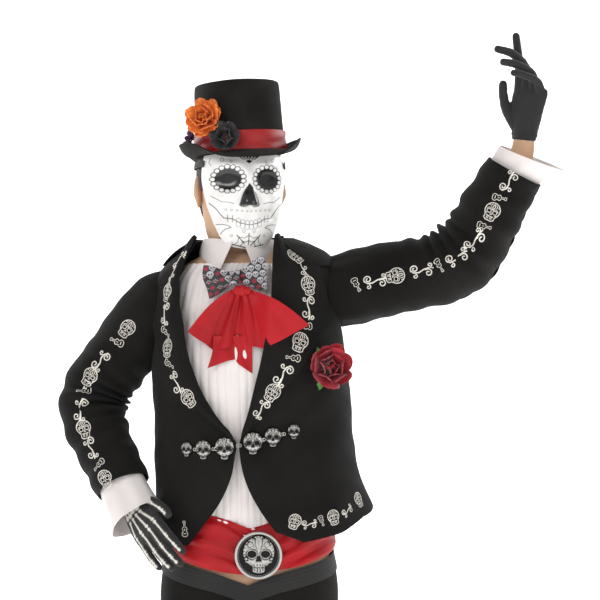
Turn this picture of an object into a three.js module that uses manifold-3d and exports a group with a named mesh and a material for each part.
// Life-size catrin display figure: a papier-mache half figure on a steel post, with turning head, arms and
// hands, dressed in a charro jacket, shirt front, bow tie, jabot, sash, gloves, skull mask and top hat.
// Millimetres, +Z up. The figure faces -Y. The origin is on the floor under the figure's middle.
import * as THREE from "three";
import { mergeVertices } from "three/addons/utils/BufferGeometryUtils.js";
import Module from "manifold-3d";

const wasm = await Module();
wasm.setup();

// ---- Driving dimensions ----
const GAP = 0.5; // air left between pieces that touch
const SHELL_WALL = 5; // papier-mache wall
const CLOTH = 2.5; // thickness of a cloth layer in this model
const POST_X = -20; // the post, neck and head share one upright axis
const POST_Y = 8;
const POST_R = 12.5;
const POST_TOP = 742;
const TORSO_WIDTH = 326; // the body's and the jacket's outlines are drawn at DRAWN_WIDTH and follow this
const DRAWN_WIDTH = 326;
const WIDE = TORSO_WIDTH / DRAWN_WIDTH;
const BOARD_T = 18; // plywood base
const WEIGHT_T = 24; // cast ballast plate
const BEAM_Z = 592; // height of the shoulder beam and of both shoulder axes
const BEAM_H = 56;
const BEAM_D = 36;
const BEAM_HALF = 130 * WIDE;
const STUD_HOLD = 30; // how far a shoulder stud goes into the beam
const STUD_OUT = 30; // how far it stands out past the shoulder
const STUD_R = 6;
const ARM_R = 34; // upper arm at the shoulder
const CAP_RIGHT = 1.6 * ARM_R + 15.6; // sleeve radius at the shoulder, round the sloping upper arm
const CAP_LEFT = CAP_RIGHT + 9;
const CAP_STAND = 9; // from the shoulder to the start of its sleeve
const ELBOW_ARM_R = ARM_R - 4;
const ELBOW_SLEEVE = ELBOW_ARM_R + 32; // sleeve radius at the elbow
const WRIST_R = 25;
const ARM_WALL = 6;
const PIN_R = 5;
const FORK_GAP = 26; // between the fork's cheeks
const CHEEK_T = 9;
const CHEEK_R = 17;
const FORK_REACH = 34; // from the upper arm's end to the elbow axis
const TONGUE_REACH = 30; // from the elbow axis to the forearm's start
const BUCKLE_R = 43.5;
const BUCKLE_T = 4;
const HEAD_YAW = 12; // degrees that the head is turned to the figure's left
const HAT_TILT = 3.5; // degrees that the hat leans to the figure's right
const CROWN_H = 137;
const CROWN_RX = 86; // half width and half depth of the crown at the brim
const CROWN_RY = 101;
const CROWN_TOP_SHARE = 0.93;
const HAT_WALL = 3;
const BRIM_OUT = 37; // how far the brim stands out
const BRIM_Z = 852; // height of the brim at the crown
const RIBBON_H = 37;
const UPPER_RIGHT = 253.8; // joint to joint
const FORE_RIGHT = 217.2;
const UPPER_LEFT = 256.3;
const FORE_LEFT = 227.8;
// The point at a length from another, in the direction of x, y, z.
const reach = (start, length, x, y, z) => start.clone().add(new THREE.Vector3(x, y, z).setLength(length));
const SHOULDER_RIGHT = new THREE.Vector3(-158 * WIDE, 2, BEAM_Z - 8);
const ELBOW_RIGHT = reach(SHOULDER_RIGHT, UPPER_RIGHT, -158, 16, -198);
const WRIST_RIGHT = reach(ELBOW_RIGHT, FORE_RIGHT, 90, -84, -179);
const SHOULDER_LEFT = new THREE.Vector3(155 * WIDE, 2, BEAM_Z);
const ELBOW_LEFT = reach(SHOULDER_LEFT, UPPER_LEFT, 249, -24, 56);
const WRIST_LEFT = reach(ELBOW_LEFT, FORE_LEFT, 106, -38, 198);

const figure = new THREE.Group();

const colours = {
  paper: [0xc79a78, 0.75, 0],
  black_cloth: [0x171513, 0.85, 0],
  white_cloth: [0xe6e0dc, 0.8, 0],
  red_satin: [0xb8121c, 0.35, 0],
  felt: [0x161513, 0.95, 0],
  mask_white: [0xe9e7e2, 0.3, 0],
  silver: [0x8f8d86, 0.35, 1],
  steel: [0x9b9da0, 0.4, 1],
  iron: [0x3b3a39, 0.7, 1],
  plywood: [0xb68d5c, 0.7, 0],
  hair: [0x241a14, 0.6, 0],
  elastic: [0x1c1a18, 0.8, 0],
  print_cloth: [0x3a2f36, 0.6, 0],
  marigold: [0xf07c1e, 0.7, 0],
  purple: [0x4b1e5c, 0.7, 0],
  rose: [0xa3081d, 0.6, 0],
};

// Adds one named sub-part, a geometry or a manifold solid, to a group with its material.
function add(name, shape, colour, parent = figure) {
  const [hex, roughness, metalness] = colours[colour];
  const material = new THREE.MeshStandardMaterial({ color: hex, roughness, metalness });
  const mesh = new THREE.Mesh(shape.getMesh ? toGeometry(shape) : shape, material);
  mesh.name = name;
  parent.add(mesh);
  return mesh;
}

// ---- Solids ----
// Signed volume of an indexed triangle list, to find a surface that is inside out.
function signedVolume(positions, index) {
  const a = new THREE.Vector3();
  const b = new THREE.Vector3();
  const c = new THREE.Vector3();
  let sum = 0;
  for (let i = 0; i < index.length; i += 3) {
    a.fromArray(positions, index[i] * 3);
    b.fromArray(positions, index[i + 1] * 3);
    c.fromArray(positions, index[i + 2] * 3);
    sum += a.dot(b.cross(c));
  }
  return sum / 6;
}

// A geometry from points and triangles, turned so that its faces point out.
function outward(points, index) {
  const positions = points.flatMap((p) => [p.x, p.y, p.z]);
  if (signedVolume(positions, index) < 0) index.reverse();
  const geometry = new THREE.BufferGeometry();
  geometry.setAttribute("position", new THREE.BufferAttribute(new Float32Array(positions), 3));
  geometry.setIndex(index);
  return geometry;
}

// A closed sheet of material: point(u, v, side) gives its inner face at side 0 and its outer face at side 1.
function sheet(point, columns, rows, closed = false) {
  const across = closed ? columns : columns + 1;
  const points = [];
  for (const side of [0, 1])
    for (let j = 0; j <= rows; j++)
      for (let i = 0; i < across; i++) points.push(point(i / columns, j / rows, side));
  const layer = across * (rows + 1);
  const at = (i, j, side) => side * layer + j * across + (i % across);
  const index = [];
  const quad = (a, b, c, d) => index.push(a, b, c, a, c, d);
  for (let j = 0; j < rows; j++)
    for (let i = 0; i < columns; i++) {
      quad(at(i, j, 1), at(i + 1, j, 1), at(i + 1, j + 1, 1), at(i, j + 1, 1));
      quad(at(i, j + 1, 0), at(i + 1, j + 1, 0), at(i + 1, j, 0), at(i, j, 0));
    }
  for (let i = 0; i < columns; i++) {
    quad(at(i, 0, 0), at(i + 1, 0, 0), at(i + 1, 0, 1), at(i, 0, 1));
    quad(at(i, rows, 1), at(i + 1, rows, 1), at(i + 1, rows, 0), at(i, rows, 0));
  }
  for (let j = 0; j < rows && !closed; j++) {
    quad(at(0, j, 1), at(0, j + 1, 1), at(0, j + 1, 0), at(0, j, 0));
    quad(at(columns, j, 0), at(columns, j + 1, 0), at(columns, j + 1, 1), at(columns, j, 1));
  }
  return outward(points, index);
}

// A solid through rings of points, closed at both ends by fans.
function loft(rings) {
  const sides = rings[0].length;
  const points = rings.flat();
  const index = [];
  const at = (i, j) => j * sides + (i % sides);
  for (let j = 0; j + 1 < rings.length; j++)
    for (let i = 0; i < sides; i++)
      index.push(at(i, j), at(i + 1, j), at(i + 1, j + 1), at(i, j), at(i + 1, j + 1), at(i, j + 1));
  for (const [j, turn] of [[0, 1], [rings.length - 1, 0]]) {
    const middle = rings[j].reduce((s, p) => s.add(p), new THREE.Vector3()).divideScalar(sides);
    points.push(middle);
    for (let i = 0; i < sides; i++) {
      const pair = turn ? [at(i + 1, j), at(i, j)] : [at(i, j), at(i + 1, j)];
      index.push(points.length - 1, ...pair);
    }
  }
  return outward(points, index);
}

function toSolid(geometry) {
  if (geometry.getMesh) return geometry;
  const plain = geometry.index ? geometry.toNonIndexed() : geometry.clone();
  plain.deleteAttribute("normal");
  plain.deleteAttribute("uv");
  const merged = mergeVertices(plain, 1e-3);
  return new wasm.Manifold(
    new wasm.Mesh({
      numProp: 3,
      vertProperties: merged.attributes.position.array,
      triVerts: new Uint32Array(merged.index.array),
    }),
  );
}

function toGeometry(solid) {
  const mesh = solid.getMesh();
  const geometry = new THREE.BufferGeometry();
  geometry.setAttribute("position", new THREE.BufferAttribute(new Float32Array(mesh.vertProperties), 3));
  geometry.setIndex(Array.from(mesh.triVerts));
  return geometry;
}

const joined = (...list) => list.map(toSolid).reduce((a, b) => a.add(b));
const cut = (body, ...tools) => tools.map(toSolid).reduce((a, b) => a.subtract(b), toSolid(body));

// The largest of the separate pieces that a cut can leave.
function mainPart(solid) {
  return solid.decompose().reduce((a, b) => (b.volume() > a.volume() ? b : a));
}

// The three axes of a frame whose Z runs along direction, with X as near as it can be to hint.
function axesAlong(direction, hint = new THREE.Vector3(0, -1, 0)) {
  const z = direction.clone().normalize();
  const x = hint.clone().addScaledVector(z, -hint.dot(z)).normalize();
  return [x, new THREE.Vector3().crossVectors(z, x), z];
}

function ring(centre, direction, radius, sides, squash = 1) {
  const [x, y] = axesAlong(direction);
  return Array.from({ length: sides }, (_, i) => {
    const a = (2 * Math.PI * i) / sides;
    const across = centre.clone().addScaledVector(x, Math.cos(a) * radius * squash);
    return across.addScaledVector(y, Math.sin(a) * radius);
  });
}

function rod(from, to, r0, r1 = r0, sides = 12) {
  const along = to.clone().sub(from);
  return loft([ring(from, along, r0, sides), ring(to, along, r1, sides)]);
}

function upright(x, y, z0, z1, radius, sides = 20) {
  return rod(new THREE.Vector3(x, y, z0), new THREE.Vector3(x, y, z1), radius, radius, sides);
}

function block(x, y, z, dx, dy, dz) {
  return new THREE.BoxGeometry(dx, dy, dz).translate(x, y, z);
}

const lerp = THREE.MathUtils.lerp;
const radians = THREE.MathUtils.degToRad;

// Smooth value between rows of numbers: at(t) runs from 0 at the first row to 1 at the last.
function smoothRows(rows) {
  return (t) => {
    const place = THREE.MathUtils.clamp(t, 0, 1) * (rows.length - 1);
    const i = Math.min(Math.floor(place), rows.length - 2);
    const f = place - i;
    const pick = (k) => rows[THREE.MathUtils.clamp(k, 0, rows.length - 1)];
    return rows[0].map((_, c) => {
      const [p0, p1, p2, p3] = [pick(i - 1)[c], pick(i)[c], pick(i + 1)[c], pick(i + 2)[c]];
      const m1 = (p2 - p0) / 2;
      const m2 = (p3 - p1) / 2;
      const f2 = f * f;
      const f3 = f2 * f;
      return (2 * f3 - 3 * f2 + 1) * p1 + (f3 - 2 * f2 + f) * m1 + (3 * f2 - 2 * f3) * p2 + (f3 - f2) * m2;
    });
  };
}

// Straight-line value between [place, value] pairs.
function between(pairs, place) {
  if (place <= pairs[0][0]) return pairs[0][1];
  for (let i = 1; i < pairs.length; i++)
    if (place <= pairs[i][0]) {
      const [p, a] = pairs[i - 1];
      const [q, b] = pairs[i];
      return lerp(a, b, (place - p) / (q - p));
    }
  return pairs[pairs.length - 1][1];
}

// ---- Body and jacket surfaces ----
// Rows are [height, right side x, left side x, front y, back y], from the bottom up.
const FULLNESS = 2.35; // exponent of the flattened oval section

class Wrap {
  constructor(rows) {
    this.at = smoothRows(rows);
  }
  // The point at angle a (0 is the front, positive towards +X) and share t of the height.
  bare(a, t) {
    const [z, right, left, front, back] = this.at(t);
    const half = (left - right) / 2;
    const depth = Math.cos(a) > 0 ? -front : back;
    const s = Math.pow(Math.abs(Math.sin(a)) / half, FULLNESS);
    const c = Math.pow(Math.abs(Math.cos(a)) / depth, FULLNESS);
    const r = Math.pow(s + c, -1 / FULLNESS);
    return new THREE.Vector3((left + right) / 2 + r * Math.sin(a), -r * Math.cos(a), z);
  }
  // The same point moved outwards from the surface by offset.
  point(a, t, offset = 0) {
    const e = 1e-3;
    const p = this.bare(a, t);
    const du = this.bare(a + e, t).sub(this.bare(a - e, t));
    const dv = this.bare(a, Math.min(t + e, 1)).sub(this.bare(a, Math.max(t - e, 0)));
    return p.addScaledVector(du.cross(dv).normalize(), offset);
  }
  // The share t whose height is z.
  share(z) {
    let low = 0;
    let high = 1;
    for (let i = 0; i < 24; i++) {
      const t = (low + high) / 2;
      if (this.at(t)[0] < z) low = t;
      else high = t;
    }
    return (low + high) / 2;
  }
  // The angle on the front at which the surface has this x, at height z.
  angle(x, z) {
    const t = this.share(z);
    let low = -Math.PI / 2;
    let high = Math.PI / 2;
    for (let i = 0; i < 24; i++) {
      const a = (low + high) / 2;
      if (this.bare(a, t).x < x) low = a;
      else high = a;
    }
    return (low + high) / 2;
  }
}

// Rows whose sides follow the torso's width.
const atWidth = (rows) =>
  rows.map(([z, right, left, front, back]) => [z, right * WIDE, left * WIDE, front, back]);

const body = new Wrap(atWidth([
  [BOARD_T + GAP, -164, 162, -108, 112],
  [60, -161, 159, -110, 114],
  [105, -152, 151, -107, 109],
  [160, -146, 149, -103, 103],
  [225, -148, 151, -104, 102],
  [300, -156, 158, -111, 108],
  [380, -161, 162, -120, 116],
  [460, -158, 158, -123, 120],
  [530, -153, 151, -117, 118],
  [585, -148, 145, -104, 112],
  [625, -140, 138, -90, 102],
  [646, -122, 128, -77, 90],
  [658, -100, 100, -62, 80],
  [664, -86, 60, -54, 74],
]));
const jacket = new Wrap(atWidth([
  [122, -176, 222, -138, 132],
  [165, -176, 228, -139, 132],
  [205, -177, 222, -139, 131],
  [250, -180, 208, -139, 130],
  [312, -180, 200, -140, 131],
  [400, -176, 192, -143, 136],
  [480, -168, 182, -144, 138],
  [540, -165, 174, -139, 137],
  [595, -164, 168, -126, 132],
  [635, -158, 162, -112, 122],
  [660, -140, 150, -100, 112],
  [678, -122, 116, -92, 102],
  [692, -106, 66, -84, 92],
]));

// ---- Inside: base, post and shoulder beam ----
const outlineRing = (wrap, z, height, offset, sides = 40) =>
  Array.from({ length: sides }, (_, i) => {
    const p = wrap.point((2 * Math.PI * i) / sides, wrap.share(z), offset);
    return p.setZ(height);
  });
const postHole = (z0, z1, extra) => upright(POST_X, POST_Y, z0, z1, POST_R + extra);

const FLOOR = BOARD_T + GAP; // what stands on the base board
const OUTLINE_Z = 30; // the board and the weight follow the body's outline at this height
const boardRing = (height, inset, sides) => outlineRing(body, OUTLINE_Z, height, -inset, sides);
const BOARD_INSET = 1.5;
add("base_board", loft([boardRing(0, BOARD_INSET), boardRing(BOARD_T, BOARD_INSET)]), "plywood");
const WEIGHT_INSET = 22;
const FLANGE_R = 46;
const FLANGE_T = 10;
const weightOuter = loft([boardRing(FLOOR, WEIGHT_INSET, 32), boardRing(FLOOR + WEIGHT_T, WEIGHT_INSET, 32)]);
const FLANGE_ROOM = FLANGE_R + 3;
add("base_weight", cut(weightOuter, upright(POST_X, POST_Y, 0, FLOOR + 2 * WEIGHT_T, FLANGE_ROOM)), "iron");
const SOCKET_H = 32; // the flange's socket holds the post this far
const SOCKET_WALL = 7;
const BOLT_R = 3.2;
const BOLT_CIRCLE = (FLANGE_R + POST_R + SOCKET_WALL) / 2;
const flangeTop = FLOOR + FLANGE_T;
const flangeBody = joined(
  upright(POST_X, POST_Y, FLOOR, flangeTop, FLANGE_R, 32),
  upright(POST_X, POST_Y, flangeTop - 1, flangeTop + SOCKET_H, POST_R + SOCKET_WALL),
);
const boltHoles = [45, 135, 225, 315].map(radians).map((a) => {
  const x = POST_X + Math.cos(a) * BOLT_CIRCLE;
  const y = POST_Y + Math.sin(a) * BOLT_CIRCLE;
  return upright(x, y, 0, flangeTop + SOCKET_H, BOLT_R, 12);
});
const POST_FOOT = BOARD_T + 5;
const POST_WALL = 2.5;
add("post_flange", cut(flangeBody, postHole(POST_FOOT - GAP, 200, GAP), ...boltHoles), "steel");
const postBore = upright(POST_X, POST_Y, 0, POST_TOP + 9, POST_R - POST_WALL);
add("spine_post", cut(postHole(POST_FOOT, POST_TOP, 0), postBore), "steel");
const beamMiddle = (SHOULDER_LEFT.x + SHOULDER_RIGHT.x) / 2;
const beam = block(beamMiddle, SHOULDER_LEFT.y, BEAM_Z, BEAM_HALF * 2, BEAM_D, BEAM_H);
// A shoulder stud along X, from inside the beam to past the shoulder. With an extra it is the hole for it.
function studBody(side, extra) {
  const shoulder = side === "right" ? SHOULDER_RIGHT : SHOULDER_LEFT;
  const out = Math.sign(shoulder.x);
  const inner = beamMiddle + out * (BEAM_HALF - STUD_HOLD - extra);
  const outer = shoulder.x + out * (STUD_OUT + extra);
  return rod(shoulder.clone().setX(inner), shoulder.clone().setX(outer), STUD_R + extra);
}
const beamHoles = [postHole(0, 900, GAP), studBody("right", GAP), studBody("left", GAP)];
add("shoulder_beam", cut(beam, ...beamHoles), "plywood");
add("shoulder_stud_right", studBody("right", 0), "steel");
add("shoulder_stud_left", studBody("left", 0), "steel");

// ---- Torso shells ----
const STUD_ROOM = 5; // clearance of the shells round each stud
const studHoles = [SHOULDER_RIGHT, SHOULDER_LEFT].map((s) =>
  rod(s.clone().setX(s.x - 45), s.clone().setX(s.x + 45), STUD_R + STUD_ROOM),
);
const SEAM = radians(0.4);
function torsoHalf(from, to) {
  const skin = sheet((u, v, side) => body.point(lerp(from, to, u), v, (side - 1) * SHELL_WALL), 12, 9);
  return cut(skin, ...studHoles);
}
add("torso_front_shell", torsoHalf(-Math.PI / 2 + SEAM, Math.PI / 2 - SEAM), "paper");
add("torso_back_shell", torsoHalf(Math.PI / 2 + SEAM, 1.5 * Math.PI - SEAM), "paper");

// ---- Trousers, waistband, sash and buckle ----
const WAIST_FRONT = 52; // the trousers' top in the middle of the front
const WAIST_SIDE = 104; // and at the sides and back
const trouserTop = (a) => {
  const rise = Math.pow(1.25 * Math.abs(Math.sin(a / 2)), 1.2);
  return lerp(WAIST_FRONT, WAIST_SIDE, Math.min(rise, 1));
};
// A band of cloth round the body between two heights that vary with the angle.
function bodyBand(low, high, offset, thickness, columns, rows) {
  return sheet(
    (u, v, side) => {
      const a = 2 * Math.PI * u;
      const z = lerp(low(a), high(a), v);
      return body.point(a, body.share(Math.max(z, BOARD_T + GAP)), offset + side * thickness).setZ(z);
    },
    columns,
    rows,
    true,
  );
}
const WAISTBAND_H = 30;
const TROUSER_HEM = 3; // above the floor
const TROUSER_OFF = 3.5; // distances of the layers from the body
const WAISTBAND_OFF = 7.5;
const SASH_OFF = 11;
const SASH_H = 98;
const SASH_TOP = 186;
const waistLow = (a) => trouserTop(a) - WAISTBAND_H;
add("trousers", bodyBand(() => TROUSER_HEM, trouserTop, TROUSER_OFF, 2, 24, 3), "black_cloth");
add("waistband", bodyBand(waistLow, trouserTop, WAISTBAND_OFF, 1.2, 24, 1), "elastic");
const SASH_EDGE = [[0, 66], [0.7, 84], [1.4, 108], [Math.PI, 112]]; // [angle from the front, height]
const sashLow = (a) => between(SASH_EDGE, Math.min(a, 2 * Math.PI - a));
const sashHigh = (a) => Math.min(sashLow(a) + SASH_H, SASH_TOP);
add("sash", bodyBand(sashLow, sashHigh, SASH_OFF, CLOTH, 24, 2), "red_satin");

const BUCKLE_X = 19 * WIDE;
const BUCKLE_Z = 110;
const BUCKLE_RIM = 5;
const BUCKLE_FLOOR = 1.8; // thickness left under the recess
const buckleY = body.point(0, body.share(BUCKLE_Z)).y - SASH_OFF - CLOTH - BUCKLE_T - 3.5;
const buckle = new THREE.Group();
buckle.position.set(BUCKLE_X, buckleY, BUCKLE_Z);
figure.add(buckle);
const facingDisc = (radius, depth, sides) => new THREE.CylinderGeometry(radius, radius, depth, sides);
const plate = facingDisc(BUCKLE_R, BUCKLE_T, 32);
const recess = facingDisc(BUCKLE_R - BUCKLE_RIM, BUCKLE_T, 32).translate(0, -BUCKLE_FLOOR - 0.4, 0);
add("buckle_plate", cut(plate, recess), "silver", buckle);
// The skull's outline, drawn for a buckle of radius DRAWN_BUCKLE.
const DRAWN_BUCKLE = 43.5;
const skullOutline = new THREE.Shape();
skullOutline.moveTo(-13, -30);
skullOutline.lineTo(13, -30);
skullOutline.lineTo(15, -20);
skullOutline.quadraticCurveTo(29, -14, 28, -4);
skullOutline.absarc(0, 6, 28, -0.3, Math.PI + 0.3, false);
skullOutline.quadraticCurveTo(-29, -14, -15, -20);
for (const x of [-11, 11]) {
  const eye = new THREE.Path();
  eye.absellipse(x, 0, 7, 6, 0, 2 * Math.PI, true);
  skullOutline.holes.push(eye);
}
const flatSkull = (scale, depth) =>
  new THREE.ExtrudeGeometry(skullOutline, { depth, bevelEnabled: false, curveSegments: 3 })
    .scale(scale, scale, 1)
    .rotateX(Math.PI / 2);
const buckleSkull = flatSkull((1.08 * BUCKLE_R) / DRAWN_BUCKLE, BUCKLE_T);
add("buckle_skull", buckleSkull, "silver", buckle).position.y = GAP + 1.2 - BUCKLE_T / 2;

// ---- Shirt front and collar ----
const SHIRT_HEM = 126;
const SHIRT_TOP = 636;
const SHIRT_OFF = 4;
const SHIRT_T = 2;
const shirtPoint = (u, v, side) => {
  const share = lerp(body.share(SHIRT_HEM), body.share(SHIRT_TOP), v);
  return body.point(lerp(-1.15, 0.95, u), share, SHIRT_OFF + side * SHIRT_T);
};
add("shirt_front", sheet(shirtPoint, 8, 8), "white_cloth");
const COLLAR_R = 73.5;
const COLLAR_FOOT = 669;
const COLLAR_H = 24;
const COLLAR_OPEN = 0.925; // share of the circle that the collar goes round
const COLLAR_SPREAD = 30; // how far its points stand out from the neck
const COLLAR_DROP = 40; // and how far they hang down
function collarPoint(u, v, side) {
  const a = lerp(-Math.PI * COLLAR_OPEN, Math.PI * COLLAR_OPEN, u);
  const front = Math.pow(Math.abs(a) / Math.PI, 10);
  const r = COLLAR_R + side * SHIRT_T + (1 - v) * (2 + COLLAR_SPREAD * front);
  const z = lerp(COLLAR_FOOT - COLLAR_DROP * front, COLLAR_FOOT + COLLAR_H - 16 * front, v);
  return new THREE.Vector3(POST_X + Math.sin(a) * r, POST_Y + Math.cos(a) * r * (1 + 0.28 * front), z);
}
const collarSlit = block(POST_X, POST_Y - 90, 640, 2, 80, 200);
add("shirt_collar", cut(sheet(collarPoint, 18, 2), collarSlit), "white_cloth");

// ---- Jacket ----
// Front edges of the jacket as [height, x], for the figure's right and left side.
const JACKET_TOP = 692;
const HEM_Z = 137; // where the front edges turn into the hem
const SLEEVE_ROOM = 9; // clearance of the armholes round the sleeves
const frontEdge = {
  right: [
    [122, -112], [146, -96], [161, -84], [197, -57], [255, -31], [298, -23],
    [312, -21], [355, -57], [435, -99], [520, -120], [644, -122], [JACKET_TOP, -100],
  ],
  left: [
    [122, 78], [144, 58], [160, 44], [197, 19], [245, -4], [298, -15],
    [312, -16], [340, -4], [425, 19], [473, 30], [577, 46], [650, 48], [JACKET_TOP, 50],
  ],
};
const hemHeight = {
  right: (a) => between([[-1.57, 132], [-0.9, 124], [-0.5, 124], [-0.3, 150]], a),
  left: (a) => between([[0.2, 150], [0.5, 137], [0.9, 150], [1.2, 176], [1.57, 190]], a),
};
const backHem = (a) => between([[1.57, 190], [2.2, 168], [3.2, 150], [4.0, 140], [4.72, 132]], a);
const armholes = [
  [SHOULDER_RIGHT, CAP_RIGHT],
  [SHOULDER_LEFT, CAP_LEFT],
].map(([shoulder, radius]) => {
  const inner = shoulder.clone().setX(shoulder.x - 4 * Math.sign(shoulder.x));
  const outer = shoulder.clone().setX(shoulder.x * 2);
  return rod(inner, outer, radius + SLEEVE_ROOM, radius + SLEEVE_ROOM, 20);
});
// The angle at which an outline drawn as [height, x] lies on the jacket at height z.
const outlineAngle = (outline, z) => jacket.angle(between(outline, z) * WIDE, z);
function jacketFront(side) {
  const seam = side === "left" ? Math.PI / 2 - SEAM : -Math.PI / 2 + SEAM;
  const skin = sheet(
    (u, v, face) => {
      const a = lerp(outlineAngle(frontEdge[side], lerp(HEM_Z, JACKET_TOP, v)), seam, u);
      const z = lerp(hemHeight[side](a), JACKET_TOP, v);
      return jacket.point(a, jacket.share(z), (face - 1) * CLOTH);
    },
    7,
    12,
  );
  return cut(skin, ...armholes);
}
add("jacket_front_right", jacketFront("right"), "black_cloth");
add("jacket_front_left", jacketFront("left"), "black_cloth");
const backSkin = sheet(
  (u, v, face) => {
    const a = lerp(Math.PI / 2 + SEAM, 1.5 * Math.PI - SEAM, u);
    return jacket.point(a, jacket.share(lerp(backHem(a), JACKET_TOP, v)), (face - 1) * CLOTH);
  },
  11,
  10,
);
add("jacket_back", cut(backSkin, ...armholes), "black_cloth");
const LAPEL_FOOT = 350;
const LAPEL_OFF = 5;
const LAPEL_T = 2;
const lapelEdge = {
  right: [
    [322, -30], [LAPEL_FOOT, -64], [385, -104], [415, -130],
    [450, -148], [500, -160], [600, -156], [JACKET_TOP, -112],
  ],
  left: [
    [322, -10], [LAPEL_FOOT, 14], [400, 52], [440, 88], [480, 116],
    [540, 138], [600, 142], [650, 120], [JACKET_TOP, 62],
  ],
};
function lapel(side) {
  return cut(
    sheet(
      (u, v, face) => {
        const z = lerp(LAPEL_FOOT, JACKET_TOP - 2, v);
        const a = lerp(outlineAngle(frontEdge[side], z), outlineAngle(lapelEdge[side], z), u);
        return jacket.point(a, jacket.share(z), LAPEL_OFF + face * LAPEL_T);
      },
      3,
      9,
    ),
    ...armholes,
  );
}
add("lapel_right", lapel("right"), "black_cloth");
add("lapel_left", lapel("left"), "black_cloth");

// ---- Bow tie and jabot ----
const BOW_TILT = 9; // degrees that the bow's left side is up
const BOW_T = 10;
const WING_END = 54; // from the knot's middle to the wing's tips
const WING_HALF = 31; // half the wing's height at its tips
const KNOT = [18, 16, 22]; // the knot's width, depth and height
const bow = new THREE.Group();
bow.position.set(POST_X - 3, -119, 619);
bow.rotation.set(0, radians(-BOW_TILT), 0);
figure.add(bow);
function bowWing(side) {
  const root = KNOT[0] / 2 + 1;
  const outline = new THREE.Shape();
  outline.moveTo(side * root, -8);
  outline.quadraticCurveTo(side * WING_END * 0.63, -20, side * WING_END, -WING_HALF);
  outline.quadraticCurveTo(side * WING_END * 1.11, 0, side * (WING_END - 2), WING_HALF);
  outline.quadraticCurveTo(side * WING_END * 0.6, 18, side * root, 8);
  const wing = new THREE.ExtrudeGeometry(outline, { depth: BOW_T, bevelEnabled: false, curveSegments: 6 });
  return wing.rotateX(Math.PI / 2).translate(0, BOW_T / 2, 0);
}
add("bow_wing_right", bowWing(-1), "print_cloth", bow);
add("bow_wing_left", bowWing(1), "print_cloth", bow);
add("bow_knot", block(0, 0, 0, ...KNOT), "print_cloth", bow);

// Panels that hang on the chest: rows are [height, right x, left x].
function chestPanel(rows, offset, columns, steps) {
  const shape = smoothRows(rows);
  return sheet(
    (u, v, side) => {
      const [z, right, left] = shape(v);
      const a = jacket.angle(lerp(right, left, u) * WIDE, z);
      return jacket.point(a, jacket.share(z), offset + side * CLOTH);
    },
    columns,
    steps,
  );
}
const fanRows = [[484, -62, 40], [500, -98, 78], [526, -126, 98], [560, -78, 62], [598, -36, 12]];
const tailRows = [[450, -72, 5], [474, -72, 6], [505, -60, 0]];
const FAN_OFF = 10;
const TAIL_OFF = 5;
add("jabot_fan", chestPanel(fanRows, FAN_OFF, 8, 6), "red_satin");
add("jabot_tail", chestPanel(tailRows, TAIL_OFF, 4, 3), "red_satin");

// ---- Conchos on the jacket, linked in threes ----
// Rows are [name, x, height, scale of the skull's outline].
const conchos = [
  ["concho_right_small", -110, 303, 0.46],
  ["concho_right_middle", -80, 303, 0.6],
  ["concho_right_large", -42, 306, 0.7],
  ["concho_left_large", 9, 316, 0.7],
  ["concho_left_middle", 45, 327, 0.6],
  ["concho_left_small", 82, 337, 0.46],
];
const CONCHO_T = 4;
const CONCHO_OFF = 1.2;
for (const [name, x, z, scale] of conchos) {
  const a = jacket.angle(x * WIDE, z);
  const spot = jacket.point(a, jacket.share(z), CONCHO_OFF);
  const out = jacket.point(a, jacket.share(z), CONCHO_OFF + CONCHO_T).sub(spot);
  const piece = add(name, flatSkull(scale, CONCHO_T), "silver");
  piece.position.copy(spot);
  piece.rotation.z = Math.atan2(out.x, -out.y);
}

// ---- Rose ----
const ROSE_Z = 452;
const ROSE_R = 34;
const ROSE_T = 36;
const roseAngle = jacket.angle(137 * WIDE, ROSE_Z);
const rosePlace = jacket.point(roseAngle, jacket.share(ROSE_Z), 4.5);
const roseOut = jacket.point(roseAngle, jacket.share(ROSE_Z), ROSE_T).sub(rosePlace).normalize();
// Rows are [share of the rose's thickness, share of its radius].
const roseRings = [[0, 0.47], [0.22, 0.88], [0.61, 1], [0.89, 0.7], [1, 0.29]].map(([height, wide]) =>
  ring(rosePlace.clone().addScaledVector(roseOut, height * ROSE_T), roseOut, wide * ROSE_R, 12),
);
add("rose", loft(roseRings), "rose");

// ---- Arms ----
// An open tube of cloth through rings of [centre, direction, outer radius].
function tube(rows, sides, steps, thickness = CLOTH) {
  const at = smoothRows(rows.map(([c, d, r]) => [c.x, c.y, c.z, d.x, d.y, d.z, r]));
  const skins = [thickness, 0].map((inset) =>
    Array.from({ length: steps + 1 }, (_, j) => {
      const [x, y, z, dx, dy, dz, r] = at(j / steps);
      return ring(new THREE.Vector3(x, y, z), new THREE.Vector3(dx, dy, dz), r - inset, sides);
    }),
  );
  const point = (u, v, side) => skins[side][Math.round(v * steps)][Math.round(u * sides) % sides].clone();
  return sheet(point, sides, steps, true);
}

const crossed = (a, b) => new THREE.Vector3().crossVectors(a, b).normalize();
const FORK_ROOT = 14; // how far the fork's cheeks go back into the arm's end
const TONGUE_ROOT = 6; // and the tongue into the forearm's end

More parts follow.
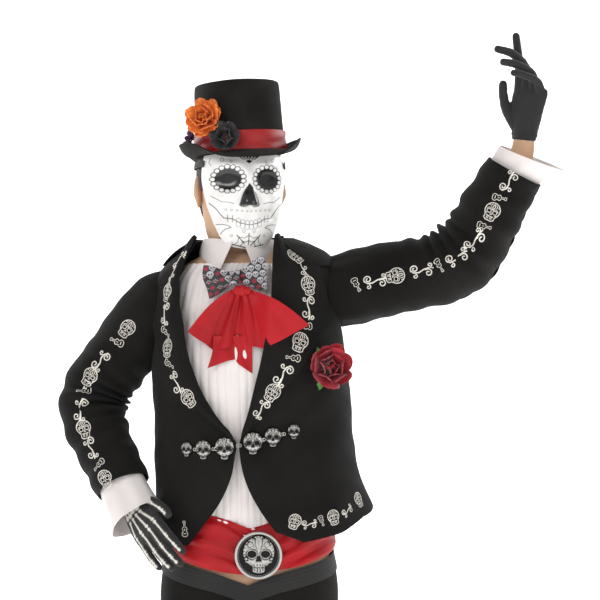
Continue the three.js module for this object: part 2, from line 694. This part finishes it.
// One arm: the wall of the upper arm, its fork and pin at the elbow, and the forearm with its tongue.
function arm(side, shoulder, elbow, wrist) {
  const out = Math.sign(shoulder.x);
  const upper = elbow.clone().sub(shoulder).normalize();
  const lower = wrist.clone().sub(elbow).normalize();
  const hinge = crossed(upper, lower);
  const along = (p, d, n) => p.clone().addScaledVector(d, n);
  // Upper arm, cut off flat against the shoulder and open at the elbow end.
  const forkEnd = along(elbow, upper, -FORK_REACH);
  const outer = loft([
    ring(along(shoulder, upper, -50), upper, ARM_R, 12),
    ring(along(shoulder, upper, 40), upper, ARM_R, 12),
    ring(forkEnd, upper, ELBOW_ARM_R, 12),
  ]);
  const hollow = loft([
    ring(along(shoulder, upper, 64), upper, ARM_R - ARM_WALL - 5, 8),
    ring(along(forkEnd, upper, 1), upper, ELBOW_ARM_R - ARM_WALL - 4, 8),
  ]);
  const flat = block(shoulder.x - out * 100, shoulder.y, shoulder.z, 200, 300, 300);
  const root = rod(shoulder, along(shoulder, upper, 30), ARM_R, ARM_R, 12);
  const cheeks = [-1, 1].map((k) => {
    const near = along(elbow, hinge, (k * FORK_GAP) / 2);
    const far = along(near, hinge, k * CHEEK_T);
    const disc = rod(near, far, CHEEK_R, CHEEK_R, 12);
    const length = FORK_REACH + FORK_ROOT;
    const basis = new THREE.Matrix4().makeBasis(upper, hinge, crossed(upper, hinge));
    const middle = along(near.lerp(far, 0.5), upper, -length / 2);
    const bar = new THREE.BoxGeometry(length, CHEEK_T, CHEEK_R * 1.7);
    return joined(disc, bar.applyMatrix4(basis).translate(...middle.toArray()));
  });
  const pinFrom = along(elbow, hinge, -FORK_GAP / 2 - CHEEK_T - 3);
  const pinTo = along(elbow, hinge, FORK_GAP / 2 + CHEEK_T + 3);
  const pinHole = rod(along(pinFrom, hinge, -5), along(pinTo, hinge, 5), PIN_R + GAP);
  const shoulderLine = [-60, 60].map((x) => shoulder.clone().setX(shoulder.x + x));
  const studHole = rod(...shoulderLine, STUD_R + GAP);
  const upperArm = cut(joined(cut(joined(outer, root), hollow), ...cheeks), flat, pinHole, studHole);
  add(`upper_arm_${side}`, upperArm, "paper");
  add(`elbow_pin_${side}`, rod(pinFrom, pinTo, PIN_R), "steel");
  // Forearm with the tongue that the pin goes through.
  const start = along(elbow, lower, TONGUE_REACH);
  const end = along(wrist, lower, -GAP);
  const tube = cut(
    loft([
      ring(start, lower, ELBOW_ARM_R - 4, 12),
      ring(along(start, lower, 50), lower, ELBOW_ARM_R, 12),
      ring(end, lower, WRIST_R, 12),
    ]),
    loft([
      ring(along(start, lower, 12), lower, ELBOW_ARM_R - ARM_WALL - 8, 8),
      ring(along(end, lower, -14), lower, WRIST_R - ARM_WALL - 3, 8),
    ]),
    rod(along(end, lower, -30), along(end, lower, 5), STUD_R + GAP),
  );
  const tongueHalf = FORK_GAP / 2 - GAP;
  const tongueR = CHEEK_R - 2;
  const tongueLength = TONGUE_REACH + TONGUE_ROOT;
  const tongueEnds = [-tongueHalf, tongueHalf].map((n) => along(elbow, hinge, n));
  const tongueDisc = rod(...tongueEnds, tongueR, tongueR, 14);
  const tongueBar = new THREE.BoxGeometry(tongueLength, tongueHalf * 2, tongueR * 1.6)
    .applyMatrix4(new THREE.Matrix4().makeBasis(lower, hinge, crossed(lower, hinge)))
    .translate(...along(elbow, lower, tongueLength / 2).toArray());
  add(`forearm_${side}`, cut(joined(tube, tongueDisc, tongueBar), pinHole), "paper");
  return { upper, lower, hinge };
}
const armRight = arm("right", SHOULDER_RIGHT, ELBOW_RIGHT, WRIST_RIGHT);
const armLeft = arm("left", SHOULDER_LEFT, ELBOW_LEFT, WRIST_LEFT);

// The sleeve starts square to the shoulder's axis, so that it turns freely in the armhole, and then follows
// the arm.
function sleevesAndCuff(side, shoulder, elbow, wrist, { upper, lower }, sizes) {
  const out = new THREE.Vector3(Math.sign(shoulder.x), 0, 0);
  const start = shoulder.clone().addScaledVector(out, sizes.stand);
  const onUpper = (share) => shoulder.clone().lerp(elbow, share);
  const onLower = (share) => elbow.clone().lerp(wrist, share);
  const turned = (share) => out.clone().lerp(upper, share).normalize();
  const mitre = upper.clone().add(lower).normalize();
  const [cap, high, low] = sizes.upperRadii;
  const upperRows = [
    [start, out, cap],
    [start.clone().lerp(onUpper(0.45), 0.3), turned(0.15), cap - 2],
    [start.clone().lerp(onUpper(0.45), 0.8), turned(0.75), high],
    [onUpper(0.62), upper, (high + low) / 2],
    [elbow, mitre, low],
  ];
  add(`sleeve_upper_${side}`, tube(upperRows, 14, 6), "black_cloth");
  const [bend, middle, end] = sizes.lowerRadii;
  const lowerRows = [
    [elbow.clone().addScaledVector(mitre, 1.5), mitre, bend],
    [onLower(0.45), lower, middle],
    [onLower(0.85), lower, end],
  ];
  add(`sleeve_lower_${side}`, tube(lowerRows, 14, 3), "black_cloth");
  const inner = end - CLOTH - GAP;
  const cuffRows = [
    [onLower(0.8), lower, inner - 1.5],
    [onLower(0.87), lower, inner - 0.5],
    [onLower(0.96), lower, inner + 4],
    [onLower(1.02), lower, sizes.cuffRadius],
  ];
  add(`cuff_${side}`, tube(cuffRows, 16, 3, 1.6), "white_cloth");
}
sleevesAndCuff("right", SHOULDER_RIGHT, ELBOW_RIGHT, WRIST_RIGHT, armRight, {
  stand: CAP_STAND,
  upperRadii: [CAP_RIGHT, ELBOW_SLEEVE + 3, ELBOW_SLEEVE],
  lowerRadii: [ELBOW_SLEEVE, WRIST_R + 30, WRIST_R + 24],
  cuffRadius: WRIST_R + 29,
});
sleevesAndCuff("left", SHOULDER_LEFT, ELBOW_LEFT, WRIST_LEFT, armLeft, {
  stand: CAP_STAND,
  upperRadii: [CAP_LEFT, ELBOW_SLEEVE + 10, ELBOW_SLEEVE + 6],
  lowerRadii: [ELBOW_SLEEVE + 6, WRIST_R + 37, WRIST_R + 31],
  cuffRadius: WRIST_R + 37,
});

// ---- Hands and gloves ----
const GLOVE_T = 2.5;
const SPIGOT_HALF = 24;
// A finger is a tube through a row of points.
function finger(points, radius) {
  const sides = 6;
  const rings = points.map((p, i) => {
    const a = points[Math.max(i - 1, 0)];
    const b = points[Math.min(i + 1, points.length - 1)];
    return ring(p, b.clone().sub(a), radius * (i === points.length - 1 ? 0.86 : 1), sides);
  });
  const tip = points[points.length - 1];
  const last = tip.clone().sub(points[points.length - 2]).normalize();
  rings.push(ring(tip.clone().addScaledVector(last, radius * 0.55), last, radius * 0.45, sides));
  return loft(rings);
}
// The glove is stuffed round a palm core, which turns on the wrist's spigot. A hand's palm is rows of
// [forward, towards the thumb, towards the back, half width, half thickness], and each finger is its radius
// and points of [forward, towards the thumb, towards the back], all from the wrist.
function gloveAndCore(side, hand, lower, wrist) {
  const { origin, forward, back, thumb, palm, fingers } = hand;
  const at = ([f, s, n]) =>
    origin.clone().addScaledVector(forward, f).addScaledVector(thumb, s).addScaledVector(back, n);
  const oval = (grow) => ([f, s, n, halfWidth, halfThick]) =>
    Array.from({ length: 10 }, (_, i) => {
      const a = (2 * Math.PI * i) / 10;
      return at([f, s, n])
        .addScaledVector(thumb, Math.cos(a) * (halfWidth + grow))
        .addScaledVector(back, Math.sin(a) * (halfThick + grow));
    });
  const spigotEnds = [-SPIGOT_HALF, SPIGOT_HALF].map((n) => wrist.clone().addScaledVector(lower, n));
  const spigot = rod(...spigotEnds, STUD_R, STUD_R, 10);
  const core = loft(palm.slice(0, -2).map(oval(-GLOVE_T - GAP)));
  const room = loft(palm.slice(0, -2).map(oval(-GLOVE_T)));
  const skin = loft(palm.filter(([f]) => f >= hand.hem).map(oval(0)));
  add(`hand_core_${side}`, joined(core, spigot), "paper");
  const glove = joined(skin, ...fingers.map(([radius, ...points]) => finger(points.map(at), radius)));
  add(`glove_${side}`, mainPart(cut(glove, room)), "black_cloth");
}
const rightForward = new THREE.Vector3(0.54, -0.5, -0.68).normalize();
const rightBack = new THREE.Vector3(-0.62, -0.78, 0.08);
rightBack.addScaledVector(rightForward, -rightBack.dot(rightForward)).normalize();
gloveAndCore("right", {
  origin: WRIST_RIGHT,
  forward: rightForward,
  back: rightBack,
  thumb: crossed(rightBack, rightForward),
  hem: 14,
  palm: [
    [8, 0, 0, 24, 19],
    [14, 0, 0, 24, 18],
    [34, 0, 1, 28, 16],
    [62, 0, 1, 35, 14],
    [86, 0, 0, 37, 12],
    [96, 0, 0, 34, 9],
  ],
  fingers: [
    [8.6, [84, 27, 0], [118, 30, -1], [142, 30, -6], [156, 29, -11]],
    [9, [86, 9.5, 1], [126, 10.5, 1], [152, 10, -5], [168, 9, -11]],
    [8.6, [84, -9, 1], [120, -10, 0], [146, -11, -5], [160, -12, -11]],
    [7.6, [78, -27, 0], [108, -31, -2], [128, -33, -6], [140, -34, -10]],
    [9.4, [20, 18, -4], [46, 40, -4], [72, 50, -5], [86, 51, -6]],
  ],
}, armRight.lower, WRIST_RIGHT);
const leftForward = new THREE.Vector3(0.1, -0.08, 0.99).normalize();
const leftBack = new THREE.Vector3(0.62, 0.78, 0);
leftBack.addScaledVector(leftForward, -leftBack.dot(leftForward)).normalize();
gloveAndCore("left", {
  origin: WRIST_LEFT,
  forward: leftForward,
  back: leftBack,
  thumb: crossed(leftForward, leftBack),
  hem: 38,
  palm: [
    [14, 0, 0, 24, 19],
    [39, 0, 0, 24, 18],
    [62, 0, 0, 28, 17],
    [92, 0, 0, 34, 14],
    [118, -2, 2, 36, 12],
    [130, -3, 3, 33, 9],
  ],
  fingers: [
    [8.6, [124, 24, 4], [162, 26, 0], [194, 26, -14], [218, 26, -22]],
    [9, [124, 8, 4], [164, 8, -2], [186, 10, -32], [192, 14, -64]],
    [8.6, [122, -9, 4], [154, -11, -4], [168, -12, -36], [171, -8, -64]],
    [7.6, [114, -26, 3], [140, -29, -6], [150, -31, -32], [152, -28, -52]],
    [9.4, [56, 20, -4], [84, 40, -6], [112, 46, -10], [128, 46, -14]],
  ],
}, armLeft.lower, WRIST_LEFT);

// ---- Head, hair and mask, built facing -Y on the post's axis and turned together ----
const head = new THREE.Group();
head.position.set(POST_X, POST_Y, 0);
head.rotation.z = radians(HEAD_YAW);
figure.add(head);
const NECK_FOOT = 664 + GAP;
const headRows = [
  [NECK_FOOT, -57, 57, -60, 60],
  [676, -57, 57, -60, 61],
  [690, -58, 58, -67, 62],
  [704, -62, 62, -86, 68],
  [735, -68, 68, -91, 84],
  [775, -72, 72, -94, 90],
  [815, -74, 74, -93, 90],
  [850, -69, 69, -84, 82],
  [880, -54, 54, -64, 68],
  [898, -34, 34, -40, 46],
  [905, -6, 6, -8, 8],
];
const skull = new Wrap(headRows);
const headRing = (offset, z, sides = 16) =>
  Array.from({ length: sides }, (_, i) => skull.point((2 * Math.PI * i) / sides, skull.share(z), offset));
const headHeights = [NECK_FOOT, 676, 690, 704, 735, 775, 815, 850, 880, 897, 904.5];
const headOuter = loft(headHeights.map((z) => headRing(0, z)));
const HEAD_WALL = 7;
const headInner = loft([
  headRing(-HEAD_WALL, NECK_FOOT, 12).map((p) => p.setZ(NECK_FOOT - 10)),
  ...headHeights.slice(1, -2).map((z) => headRing(-HEAD_WALL, z, 12)),
]);
const EAR = [6, 17, 32]; // half thickness, half width and half height
const EAR_X = 77;
const EAR_Z = 784;
const ears = [-1, 1].map((k) =>
  new THREE.SphereGeometry(1, 8, 6).scale(...EAR).rotateZ(radians(k * 24)).translate(k * EAR_X, 6, EAR_Z),
);
add("head_shell", cut(joined(headOuter, ...ears), headInner), "paper", head);
const BLOCK_FOOT = 672; // the plywood block that turns on the post
const BLOCK_TOP = 690;
const POST_PLAY = 0.3;
const neckPlug = loft(
  [BLOCK_FOOT, BLOCK_TOP].map((z) => headRing(-HEAD_WALL - 2 * GAP, BLOCK_FOOT, 12).map((p) => p.setZ(z))),
);
const postBearing = upright(0, 0, 600, 760, (POST_R + POST_PLAY) / Math.cos(Math.PI / 20));
add("neck_block", cut(neckPlug, postBearing), "plywood", head);
const HAIR_EDGE = [
  [0, 850], [1.13, 850], [1.25, 800], [1.35, 782], [1.62, 822], [1.85, 800], [2.2, 730], [Math.PI, 712],
]; // [angle from the front, height]
const hairLine = (a) => between(HAIR_EDGE, Math.abs(a));
const HAIR_OFF = 5.2;
const HAIR_T = 3;
const hairSkin = sheet(
  (u, v, side) => {
    const a = lerp(-Math.PI, Math.PI, u);
    return skull.point(a, lerp(skull.share(hairLine(a)), skull.share(896), v), HAIR_OFF + side * HAIR_T);
  },
  16,
  4,
  true,
);
const earRoom = [-1, 1].map((k) => block(k * (EAR_X + 7), 6, EAR_Z - 2, 24, 44, 76));
add("hair", cut(hairSkin, ...earRoom), "hair", head);

// The mask stands off the face and has a nose and two eye holes.
const MASK_OFF = 9;
const MASK_T = 2.5;
const MASK_CHIN = 675;
const MASK_TOP = 846;
const JAW_Z = 704; // below this the mask keeps the jaw's section
const NOSE_OUT = 15;
const NOSE_Z = 762;
const EYE_X = 37;
const EYE_Z = 800;
const EYE_HALF = [17, 9]; // half width and half height of an eye hole
const MASK_DEPTH = 84; // the reach at which the mask's half width is measured round the face
// Half width at each height.
const maskHalf = [
  [MASK_CHIN, 16], [680, 27], [690, 40], [708, 52], [728, 61], [760, 71], [800, 76], [MASK_TOP, 74],
];
function maskPoint(u, v, side) {
  const z = lerp(MASK_CHIN, MASK_TOP, v);
  const reach = Math.asin(Math.min(between(maskHalf, z) / MASK_DEPTH, 0.985));
  const a = lerp(-reach, reach, u);
  const p = skull.point(a, skull.share(Math.max(z, JAW_Z)), MASK_OFF + side * MASK_T).setZ(z);
  const nose = NOSE_OUT * Math.exp(-Math.pow(p.x / 14, 2)) * Math.exp(-Math.pow((z - NOSE_Z) / 20, 2));
  p.y -= nose - 0.12 * Math.max(JAW_Z - z, 0);
  return p;
}
const eyeHoles = [-1, 1].map((k) =>
  facingDisc(1, 2, 10).scale(EYE_HALF[0], 60, EYE_HALF[1]).translate(k * EYE_X, -90, EYE_Z),
);
const maskSkin = cut(sheet(maskPoint, 12, 10), ...eyeHoles);
add("mask", maskSkin, "mask_white", head);
const STRAP_LOW = 826;
const STRAP_H = 12;
const STRAP_T = 1.6;
const strapPoint = (u, v, side) => {
  const a = lerp(1.2, 2 * Math.PI - 1.2, u);
  const p = skull.point(a, skull.share(818), HAIR_OFF + HAIR_T + 1.5 + side * STRAP_T);
  return p.setZ(STRAP_LOW + v * STRAP_H);
};
add("mask_strap", cut(sheet(strapPoint, 14, 1), maskSkin), "elastic", head);

// ---- Hat, leaning a little to the figure's right ----
const hat = new THREE.Group();
hat.position.set(POST_X + 2, POST_Y - 2, BRIM_Z);
hat.rotation.set(0, radians(-HAT_TILT), radians(HEAD_YAW), "ZYX");
figure.add(hat);
const HAT_SIDES = 24;
const hatRing = (rx, ry, z) =>
  Array.from({ length: HAT_SIDES }, (_, i) => {
    const a = (2 * Math.PI * i) / HAT_SIDES;
    return new THREE.Vector3(Math.cos(a) * rx, Math.sin(a) * ry, z);
  });
const crownAt = (z, offset) => {
  const share = lerp(1, CROWN_TOP_SHARE, z / CROWN_H);
  return hatRing(CROWN_RX * share + offset, CROWN_RY * share + offset, z);
};
const CROWN_EDGE = 7; // radius of the crown's rounded top edge
const crownOuter = loft([
  crownAt(0, 0),
  crownAt(CROWN_H / 2, 0),
  crownAt(CROWN_H - CROWN_EDGE + 1, 0),
  crownAt(CROWN_H, -CROWN_EDGE),
]);
const crownInner = loft([
  crownAt(-5, -HAT_WALL),
  crownAt(CROWN_H / 2, -HAT_WALL),
  crownAt(CROWN_H - HAT_WALL, -CROWN_EDGE - 2),
]);
add("hat_crown", cut(crownOuter, crownInner), "felt", hat);
// The brim's height at a share of its width: it rolls up at the sides and dips at the front and back.
const BRIM_ROLL = 24;
const BRIM_DIP = 5;
const brimLift = (a, share) => {
  const roll = BRIM_ROLL * Math.pow(Math.abs(Math.cos(a)), 3);
  return share * share * (roll - BRIM_DIP * Math.pow(Math.sin(a), 2));
};
const brimPoint = (u, v, side) => {
  const a = 2 * Math.PI * u;
  const out = lerp(GAP, BRIM_OUT, v);
  const z = brimLift(a, v) + side * HAT_WALL;
  return new THREE.Vector3(Math.cos(a) * (CROWN_RX + out), Math.sin(a) * (CROWN_RY + out), z);
};
add("hat_brim", sheet(brimPoint, HAT_SIDES, 3, true), "felt", hat);
const RIBBON_T = 1.4;
const ribbonPoint = (u, v, side) => {
  const z = HAT_WALL + 1.5 + v * RIBBON_H;
  const share = lerp(1, CROWN_TOP_SHARE, z / CROWN_H);
  const out = GAP + side * RIBBON_T;
  const a = 2 * Math.PI * u;
  return new THREE.Vector3(Math.cos(a) * (CROWN_RX * share + out), Math.sin(a) * (CROWN_RY * share + out), z);
};
const ribbonSkin = sheet(ribbonPoint, HAT_SIDES, 1, true);
add("hat_ribbon", cut(ribbonSkin, crownOuter, sheet(brimPoint, HAT_SIDES, 3, true)), "red_satin", hat);

// Flowers on the hat: [name, colour, angle round the crown, height, radius, thickness]
const flowers = [
  ["hat_marigold", "marigold", 222, 64, 31, 26],
  ["hat_purple_flower", "purple", 194, 33, 17, 16],
  ["hat_black_flower", "black_cloth", 243, 27, 26, 18],
];
for (const [name, colour, degrees, height, radius, thick] of flowers) {
  const a = radians(degrees);
  const out = new THREE.Vector3(Math.cos(a), Math.sin(a), 0.25).normalize();
  const place = new THREE.Vector3(Math.cos(a) * (CROWN_RX + 7), Math.sin(a) * (CROWN_RY + 7), height);
  // Rows are [share of the flower's thickness, share of its radius].
  const petals = [[0, 0.5], [0.35, 1], [0.75, 0.9], [1, 0.45]].map(([deep, wide]) =>
    ring(place.clone().addScaledVector(out, deep * thick), out, wide * radius, 12),
  );
  add(name, loft(petals), colour, hat);
}

export default figure;
